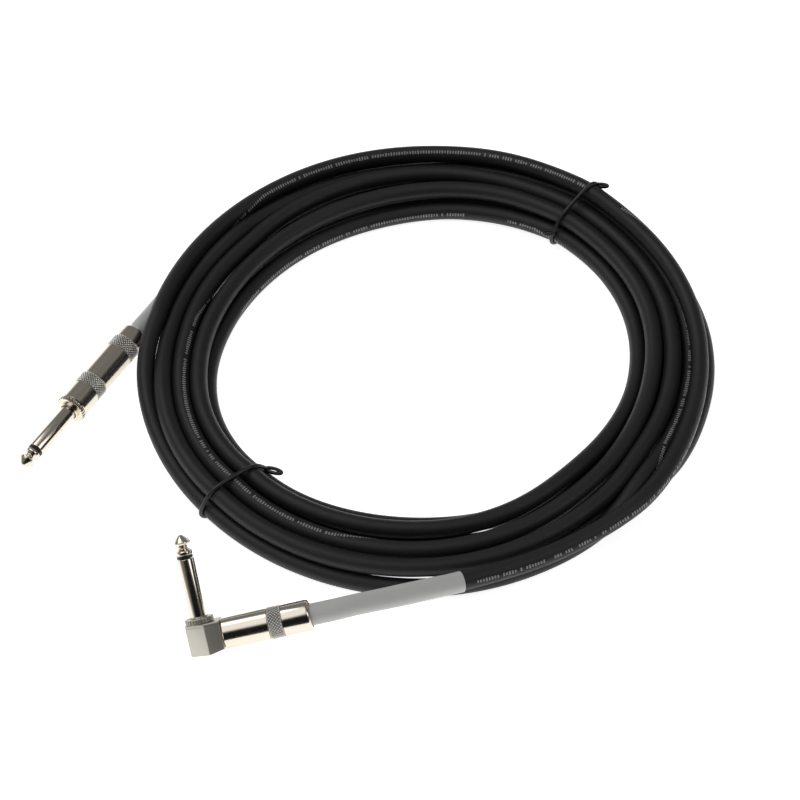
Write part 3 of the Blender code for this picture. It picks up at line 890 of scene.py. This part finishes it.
def elbow_block(frame, metal):
    """The pointed block, with its undercut end, a groove under the top slab and rounded edges."""
    outline = np.array([
        (ELBOW_FACE, ELBOW_HALF_WIDTH), (ELBOW_SHOULDER, ELBOW_HALF_WIDTH),
        (ELBOW_POINT, ELBOW_POINT_HALF_WIDTH), (ELBOW_POINT, -ELBOW_POINT_HALF_WIDTH),
        (ELBOW_SHOULDER, -ELBOW_HALF_WIDTH), (ELBOW_FACE, -ELBOW_HALF_WIDTH),
    ])
    middle = outline.mean(axis=0)
    inset = middle + (outline - middle) * (1.0 - GROOVE_DEPTH / ELBOW_HALF_WIDTH)
    top, bottom = ELBOW_GROOVE
    levels = (
        (outline, ELBOW_TOP), (outline, top), (inset, top - 0.02), (inset, bottom),
        (outline, bottom - 0.02), (outline, ELBOW_BOTTOM),
    )
    shape = bmesh.new()
    rings = []
    for loop, z in levels:
        ring = []
        for x, y in loop:
            raised = ELBOW_UNDERCUT if z == ELBOW_BOTTOM and x > ELBOW_FACE - 1.0 else 0.0
            ring.append(shape.verts.new(frame @ Vector((x, y, z + raised)) * MM))
        rings.append(ring)
    shape.faces.new(rings[0])
    shape.faces.new(list(reversed(rings[-1])))
    for upper, lower in zip(rings, rings[1:]):
        for index in range(len(upper)):
            ahead = (index + 1) % len(upper)
            shape.faces.new((upper[index], lower[index], lower[ahead], upper[ahead]))
    bmesh.ops.recalc_face_normals(shape, faces=shape.faces)
    sharp = [edge for edge in shape.edges if edge.calc_face_angle(0.0) > math.radians(25)]
    grooved = {vert for ring in rings[1:5] for vert in ring}
    main = [edge for edge in sharp if not grooved.issuperset(edge.verts)]
    bmesh.ops.bevel(
        shape, geom=main, offset=ELBOW_BEVEL * MM, segments=3, profile=0.5, affect="EDGES",
        clamp_overlap=True,
    )
    return added("angle_elbow_look", mesh_from("angle_elbow_look", shape, metal))


def cut(obj, cutters):
    """The piece with each cutter taken away, as a plain mesh."""
    for tool in cutters:
        step = obj.modifiers.new(tool.name, "BOOLEAN")
        step.operation = "DIFFERENCE"
        step.object = tool
    graph = bpy.context.evaluated_depsgraph_get()
    mesh = bpy.data.meshes.new_from_object(obj.evaluated_get(graph))
    obj.modifiers.clear()
    obj.data = mesh
    for tool in cutters:
        bpy.data.objects.remove(tool)
    smooth_shaded(mesh, METAL_CREASE)
    return obj


def elbow_pieces(frame, rear, metal):
    depth, step = ELBOW_FACE + 2.0, ELBOW_FACE + 0.8
    seat, bore, inner = FINGER_R + GAP, NECK_BORE_R, FINGER_BORE_R
    wire_way = ((0.0, depth), (2.6, depth), (2.6, step), (bore, step), (bore, -9.0), (0.0, -9.0))
    finger_way = ((0.0, 1.0), (seat, 1.0), (seat, -3.9), (inner, -3.9), (inner, -7.0), (0.0, -7.0))
    cap_way = ((0.0, -8.5), (3.2, -8.5), (3.2, -16.0), (0.0, -16.0))
    block = cut(elbow_block(frame, metal), [
        cutter("wire_way", wire_way, rear),
        cutter("finger_way", finger_way, frame),
        cutter("cap_way", cap_way, frame),
    ])
    neck = [(bore, -0.02), (THREAD_R - 0.4, -0.02)]
    neck += [(THREAD_R, z) for z in fine_steps(-0.05, -THREAD_LENGTH + 0.3, THREAD_STEP)]
    neck += [(THREAD_R - 0.4, -THREAD_LENGTH), (bore, -THREAD_LENGTH)]
    thread = lathe("neck", neck, rear, metal, shape=thread_shape, closed=True, crease=METAL_CREASE)
    obj = joined("angle_elbow_look", block, thread)
    stands_for(obj, "nickel", "angle_elbow")
    collar = [(FINGER_R + GAP, 0.0), (ANGLE_COLLAR_R - 0.3, 0.0)]
    collar += [(ANGLE_COLLAR_R, z) for z in fine_steps(-0.3, ELBOW_TOP + GAP, THREAD_STEP)]
    collar += [(FINGER_R + GAP, ELBOW_TOP + GAP)]
    teeth = straight_knurl(-0.1, ELBOW_TOP, ANGLE_COLLAR_R, depth=0.4, count=30)
    name = "angle_collar_look"
    obj = lathe(name, collar, frame, metal, ANGLE_COLLAR_SIDES, teeth, closed=True, crease=METAL_CREASE)
    stands_for(obj, "nickel", "angle_collar")


def boot_piece(prefix, path, runs, start, end, look):
    """Shrunk sleeving along the cable, a little uneven, with a clean cut end."""
    line = path[(runs >= start) & (runs <= end)]
    rng = np.random.default_rng(len(prefix))
    knots = np.linspace(0, len(line), BOOT_WAVES)
    waves = np.interp(np.arange(len(line)), knots, rng.normal(0.0, BOOT_UNEVEN, BOOT_WAVES))
    outer = BOOT_R + waves - BOOT_UNEVEN
    outside = tube_piece("outside", line, outer, look, sides=BOOT_SIDES, capped=False)
    inside = tube_piece("inside", line, CABLE_R + 0.03, look, sides=BOOT_SIDES, capped=False)
    shape = bmesh.new()
    for surface in (outside, inside):
        shape.from_mesh(surface.data)
        bpy.data.objects.remove(surface)
    shape.verts.ensure_lookup_table()
    half = len(line) * BOOT_SIDES
    for base in (0, half - BOOT_SIDES):
        for col in range(BOOT_SIDES):
            ahead = (col + 1) % BOOT_SIDES
            rim = (base + col, base + ahead, half + base + ahead, half + base + col)
            shape.faces.new([shape.verts[index] for index in rim])
    bmesh.ops.recalc_face_normals(shape, faces=shape.faces)
    mesh = mesh_from(prefix + "_boot_look", shape, look)
    smooth_shaded(mesh, 50.0)
    return stands_for(added(prefix + "_boot_look", mesh), "boot", prefix + "_boot")


# ---------------------------------------------------------------- ties


def hull(points):
    """The convex outline of flat points, counter-clockwise."""
    points = sorted(map(tuple, points))

    def half(run):
        kept = []
        for p in run:
            while len(kept) > 1:
                (ax, ay), (bx, by) = kept[-2], kept[-1]
                if (bx - ax) * (p[1] - ay) - (by - ay) * (p[0] - ax) > 0:
                    break
                kept.pop()
            kept.append(p)
        return kept[:-1]

    return np.array(half(points) + half(points[::-1]))


def strands_at(path, angle, within):
    """(radius, height) of each strand, within that radius, where it crosses the given direction."""
    turn, radius, height = polar(path)
    away = (turn - angle + 180.0) % 360.0 - 180.0
    found = []
    for index in np.nonzero((away[:-1] * away[1:] <= 0) & (np.abs(away[:-1]) < 20))[0]:
        share = away[index] / (away[index] - away[index + 1] + 1e-12)
        spot = [row[index] + (row[index + 1] - row[index]) * share for row in (radius, height)]
        if spot[0] < within:
            found.append(spot)
    return np.array(found)


def tie_loop(path, angle, lean):
    """One turn of wire drawn round the bundle, leaning by some degrees from inside to outside."""
    around = np.linspace(0.0, 2 * math.pi, 40, endpoint=False)
    circle = np.column_stack([np.cos(around), np.sin(around)]) * (CABLE_R + TIE_WIRE_R + TIE_CLEARANCE)
    spots = strands_at(path, angle, TIED_WITHIN)
    outline = hull((spots[:, None, :] + circle[None]).reshape(-1, 2))
    outline[:, 1] = np.maximum(outline[:, 1], TIE_WIRE_R + 0.12)
    closed = np.vstack([outline, outline[:1]])
    flat = resample(np.column_stack([closed, np.zeros(len(closed))]), 1.2)[:-1, :2]
    for _ in range(6):
        flat = (np.roll(flat, 1, 0) + flat * 2 + np.roll(flat, -1, 0)) / 4
    middle = flat.mean(axis=0)
    flat = middle + (flat - middle) * TIE_SLACK
    flat[:, 1] = np.maximum(flat[:, 1], TIE_WIRE_R + 0.1)
    leaning = angle + lean * (flat[:, 0] - spots[:, 0].mean()) / 16.0
    return from_polar(leaning, flat[:, 0], flat[:, 1])


def wire(name, path, look, cyclic=False, radius=TIE_WIRE_R):
    """A round wire along any path, with frames carried along it."""
    count = len(path)
    step = np.roll(path, -1, 0) - np.roll(path, 1, 0) if cyclic else np.gradient(path, axis=0)
    tangent = step / np.linalg.norm(step, axis=1)[:, None]
    normal = np.cross(tangent[0], [0.31, 0.52, 0.79])
    normals = []
    for index in range(count):
        normal = normal - tangent[index] * (normal @ tangent[index])
        normal = normal / np.linalg.norm(normal)
        normals.append(normal)
    normals = np.array(normals)
    across = np.cross(tangent, normals)
    sides = TIE_WIRE_SIDES
    turn = np.linspace(0, 2 * math.pi, sides, endpoint=False)
    ring = normals[:, None] * np.cos(turn)[None, :, None] + across[:, None] * np.sin(turn)[None, :, None]
    verts = (path[:, None] + ring * radius).reshape(-1, 3)
    faces = list(quads(count - 1, sides))
    last = (count - 1) * sides
    if cyclic:
        carried = normals[-1] - tangent[0] * (normals[-1] @ tangent[0])
        swing = math.atan2(carried @ across[0], carried @ normals[0])
        shift = round(swing / (2 * math.pi) * sides)
        for col in range(sides):
            ahead = (col + 1) % sides
            faces.append((last + col, last + ahead, (ahead + shift) % sides, (col + shift) % sides))
    else:
        faces.append(tuple(reversed(range(sides))))
        faces.append(tuple(range(last, last + sides)))
    return mesh_piece(name, verts, faces, look, crease=60.0)


def tie_ear(loop, at_outer, size, swing):
    """A small open loop of the same wire, standing off the tie at its inner or outer top edge."""
    radius = np.hypot(loop[:, 0], loop[:, 1] - CENTRE_Y)
    score = (radius if at_outer else -radius) + 0.55 * loop[:, 2]
    index = int(np.argmax(score))
    away = loop[index] - loop.mean(axis=0)
    away /= np.linalg.norm(away)
    root = loop[index] - away * 0.5
    along = np.cross(away, loop[(index + 2) % len(loop)] - loop[index - 2])
    along /= np.linalg.norm(along)
    turn = np.linspace(0.0, 2 * math.pi, 33)[:-1]
    reach = size * (1.0 - np.cos(turn)) * 0.5
    wide = size * 0.42 * np.sin(turn)
    return root + away * reach[:, None] + along * (wide + swing * (1.0 - np.cos(turn)) * 0.5)[:, None]


def tie_tail(angle, length_deg, radius):
    """The wire's short end: it comes out from under the bundle's inner edge and stops in a blob."""
    share = np.linspace(0.0, 1.0, 16)
    return from_polar(angle - length_deg * share, radius + 1.5 - 2.2 * share, 1.2 + 2.0 * share**2)


def blob(name, place, radius, look):
    """A small ball."""
    ball = [(radius * math.sin(a), radius * math.cos(a)) for a in np.linspace(0.0, math.pi, 13)]
    return lathe(name, ball, Matrix.Translation(Vector(place)), look, steps=20)


def tie_piece(name, path, angle, lean, ears, tail, look):
    loop = tie_loop(path, angle, lean)
    parts = [wire(name + "_loop", loop, look, cyclic=True)]
    for at_outer, size, swing in ears:
        ear = tie_ear(loop, at_outer, size, swing)
        parts.append(wire(name + "_ear", ear, look, cyclic=True, radius=TIE_EAR_WIRE_R))
    if tail:
        line = tie_tail(angle, *tail)
        parts.append(wire(name + "_tail", line, look))
        parts.append(blob(name + "_blob", line[-1], 1.15, look))
    return stands_for(joined(name + "_tie_look", *parts), "tie", name + "_tie")


# ---------------------------------------------------------------- studio


def make_camera():
    data = bpy.data.cameras.new("camera")
    data.sensor_width = 36.0
    data.lens = CAMERA_LENS
    data.clip_start = 0.01
    data.clip_end = 20.0
    camera = added("camera", data)
    camera.location = CAMERA_PLACE * MM
    camera.rotation_euler = (math.radians(90.0 - CAMERA_PITCH), 0.0, 0.0)
    bpy.context.scene.camera = camera


def softbox(name, place, size, energy):
    light = bpy.data.lights.new(name, "AREA")
    light.shape = "RECTANGLE"
    light.size, light.size_y = size
    light.energy = energy
    obj = added(name, light)
    obj.location = place
    obj.rotation_euler = (SOFTBOX_AIM - Vector(place)).to_track_quat("-Z", "Y").to_euler()


def make_floor():
    look, _, shader = new_look("floor")
    set_base(shader, (0.9, 0.9, 0.9), 0.9)
    shader.inputs["Specular IOR Level"].default_value = 0.0
    shader.inputs["Emission Color"].default_value = (1.0, 1.0, 1.0, 1.0)
    shader.inputs["Emission Strength"].default_value = FLOOR_GLOW
    corners = [(x * FLOOR_REACH, y * FLOOR_REACH, 0.0) for x, y in ((-1, -1), (1, -1), (1, 1), (-1, 1))]
    obj = mesh_piece("floor", corners, [(0, 1, 2, 3)], look)


def lobe(tree, direction, towards, width):
    """1 where the world faces one way, falling smoothly to 0 at the given width in degrees."""
    dot = tree.nodes.new("ShaderNodeVectorMath")
    dot.operation = "DOT_PRODUCT"
    dot.inputs[1].default_value = Vector(towards).normalized()
    tree.links.new(direction, dot.inputs[0])
    edge = tree.nodes.new("ShaderNodeMapRange")
    edge.interpolation_type = "SMOOTHSTEP"
    edge.inputs["From Min"].default_value = math.cos(math.radians(width))
    edge.inputs["From Max"].default_value = math.cos(math.radians(width * 0.55))
    tree.links.new(dot.outputs["Value"], edge.inputs["Value"])
    return edge.outputs["Result"]


def make_world():
    """Pale near the horizon and grey above, bright overhead, dark at the front and at the right."""
    world = bpy.data.worlds.new("studio")
    bpy.context.scene.world = world
    world.use_nodes = True
    tree = world.node_tree
    direction = tree.nodes.new("ShaderNodeTexCoord").outputs["Generated"]
    split = tree.nodes.new("ShaderNodeSeparateXYZ")
    tree.links.new(direction, split.inputs["Vector"])
    base = tree.nodes.new("ShaderNodeMapRange")
    ends = (*SKY_HEIGHTS, HORIZON_GREY, SKY_GREY)
    for socket, value in zip(("From Min", "From Max", "To Min", "To Max"), ends):
        base.inputs[socket].default_value = value
    tree.links.new(split.outputs["Z"], base.inputs["Value"])
    level = base.outputs["Result"]
    for patch, depth in ((DARK_PATCH, DARK_PATCH_DEPTH), (DARK_SIDE, DARK_SIDE_DEPTH)):
        taken = calc(tree, "MULTIPLY", lobe(tree, direction, *patch), depth)
        level = calc(tree, "MULTIPLY", level, calc(tree, "SUBTRACT", 1.0, taken))
    bright = calc(tree, "MULTIPLY", lobe(tree, direction, *BRIGHT_PATCH), BRIGHT_LEVEL)
    level = calc(tree, "ADD", level, bright)
    shade = tree.nodes["Background"]
    shade.inputs["Color"].default_value = (1.0, 1.0, 1.0, 1.0)
    tree.links.new(level, shade.inputs["Strength"])


# ---------------------------------------------------------------- the scene

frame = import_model()

world_up = Vector((0.0, 0.0, 1.0))
STRAIGHT_FINGER = frame_matrix(STRAIGHT_SHOULDER, -STRAIGHT_DIRECTION, world_up)
STRAIGHT_REAR = frame_matrix(
    STRAIGHT_SHOULDER + STRAIGHT_DIRECTION * SHOULDER_DEPTH, -STRAIGHT_DIRECTION, world_up
)
finger_up = (FINGER_DIRECTION - BARREL_DIRECTION * FINGER_DIRECTION.dot(BARREL_DIRECTION)).normalized()
ANGLE_FINGER = frame_matrix(
    ELBOW_AXES_CROSS + finger_up * FINGER_RISE, finger_up, finger_up.cross(BARREL_DIRECTION)
)
ANGLE_REAR = frame_matrix(ELBOW_AXES_CROSS + BARREL_DIRECTION * ELBOW_FACE, -BARREL_DIRECTION, finger_up)

metal = nickel()
turned = knurled_nickel()
cast = nickel("cast nickel", CAST_NICKEL, CAST_ROUGHNESS)
black = jacket()
grey = plain("boot", BOOT_GREY, 0.5, grain=900.0, depth=0.2)
coated = plain("tie", TIE_BLACK, 0.38)

path = coil_path()
runs = lengths_along(path)
print(f"cable: {runs[-1] / 1000:.3f} m, {len(path)} rings")
cable = tube_piece("cable_look", path, CABLE_R, black, sides=CABLE_SIDES, twist=print_turns(path))
stands_for(cable, "jacket", "cable_coil", "straight_cable_end", "angle_cable_end")

total = runs[-1]
straight_rear_run = GAP + STRAIGHT_BARREL + JACKET_START
angle_rear_run = GAP + ANGLE_BARREL + JACKET_START
bare_jacket = JACKET_START - BOOT_START
straight_boot = boot_piece(
    "straight", path, runs, bare_jacket, straight_rear_run + STRAIGHT_BOOT_OUT, grey
)
angle_boot = boot_piece(
    "angle", path, runs, total - angle_rear_run - ANGLE_BOOT_OUT, total - bare_jacket, grey
)
far_tie = tie_piece("far", path, *TIES["far"], coated)
near_tie = tie_piece("near", path, *TIES["near"], coated)

finger_pieces("straight", STRAIGHT_FINGER, STRAIGHT_ROD_END, STRAIGHT_SLEEVE_END, metal)
finger_pieces("angle", ANGLE_FINGER, ANGLE_ROD_END, ANGLE_SLEEVE_END, metal)
straight_body_piece(STRAIGHT_FINGER, metal)
barrel_piece("straight", STRAIGHT_REAR, STRAIGHT_BARREL, STRAIGHT_KNURLS, turned)
barrel_piece("angle", ANGLE_REAR, ANGLE_BARREL, ANGLE_KNURLS, turned)
elbow_pieces(ANGLE_FINGER, ANGLE_REAR, cast)

INNER_LOOKS = {
    "_tip_insulator": plain("insulator", (0.015, 0.015, 0.015), 0.3),
    "_liner": plain("liner", (0.75, 0.74, 0.70), 0.45),
    "_ground_clamp": metal,
    "_rear_insulator": plain("phenolic", (0.25, 0.13, 0.06), 0.5),
    "_tip_terminal": plain("brass", (0.70, 0.53, 0.28), 0.3, 1.0),
    "_core_wire": plain("core", (0.80, 0.80, 0.78), 0.5),
    "_shield_drain": plain("copper", (0.80, 0.42, 0.25), 0.35, 1.0),
    "_elbow_cap": metal,
}
for node, obj in frame["nodes"].items():
    for ending, look in INNER_LOOKS.items():
        if node.endswith(ending):
            obj.data.materials.clear()
            obj.data.materials.append(look)

make_camera()
make_floor()
make_world()
bpy.context.scene.view_settings.view_transform = "Standard"
for name, settings in SOFTBOXES.items():
    softbox(name, *settings)
